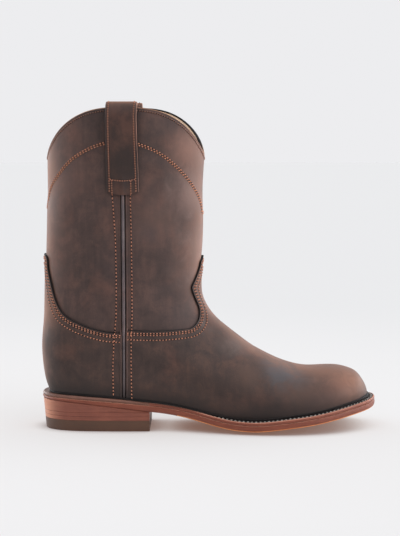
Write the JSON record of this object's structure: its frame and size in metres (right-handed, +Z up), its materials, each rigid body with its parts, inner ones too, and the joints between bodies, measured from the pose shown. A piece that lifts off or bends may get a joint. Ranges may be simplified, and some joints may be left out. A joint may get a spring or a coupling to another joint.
{
  "type": "roper boot",
  "caption": "Pull-on leather boot for a right foot, with a hollow shaft, rounded toe, low stacked heel, side seams and pull straps over the collar.",
  "frame": {"origin": "on the floor, in the flat face of the heel, under the middle of the heel's length", "axes": "+X along the boot to the toe, +Y to the medial (inner) side, +Z up"},
  "size_m": [0.3051, 0.109, 0.2964],
  "materials": {
    "shaft_leather": "waxy dark brown leather, soft sheen",
    "vamp_leather": "waxy dark brown leather, rubbed lighter at bends",
    "piping_leather": "smooth grey brown covered cord",
    "strap_leather": "waxy dark brown leather with cut edges",
    "insole_leather": "natural tan leather",
    "welt_leather": "dark stained welt leather",
    "rand_leather": "brown stained leather strip",
    "sole_leather": "reddish brown burnished edge",
    "heel_leather": "reddish brown burnished stack",
    "heel_rubber": "dark brown matt rubber"
  },
  "bodies": {
    "root": {"upper": "shaft_leather", "vamp": "vamp_leather", "counter": "vamp_leather", "side_piping_lateral": "piping_leather", "side_piping_medial": "piping_leather", "pull_strap_lateral": "strap_leather", "pull_strap_medial": "strap_leather", "insole": "insole_leather", "welt": "welt_leather", "heel_rand": "rand_leather", "outsole": "sole_leather", "heel_wedge": "heel_leather", "heel_lift_upper": "heel_leather", "heel_lift_lower": "heel_leather", "top_lift": "heel_rubber"}
  },
  "joints": []
}
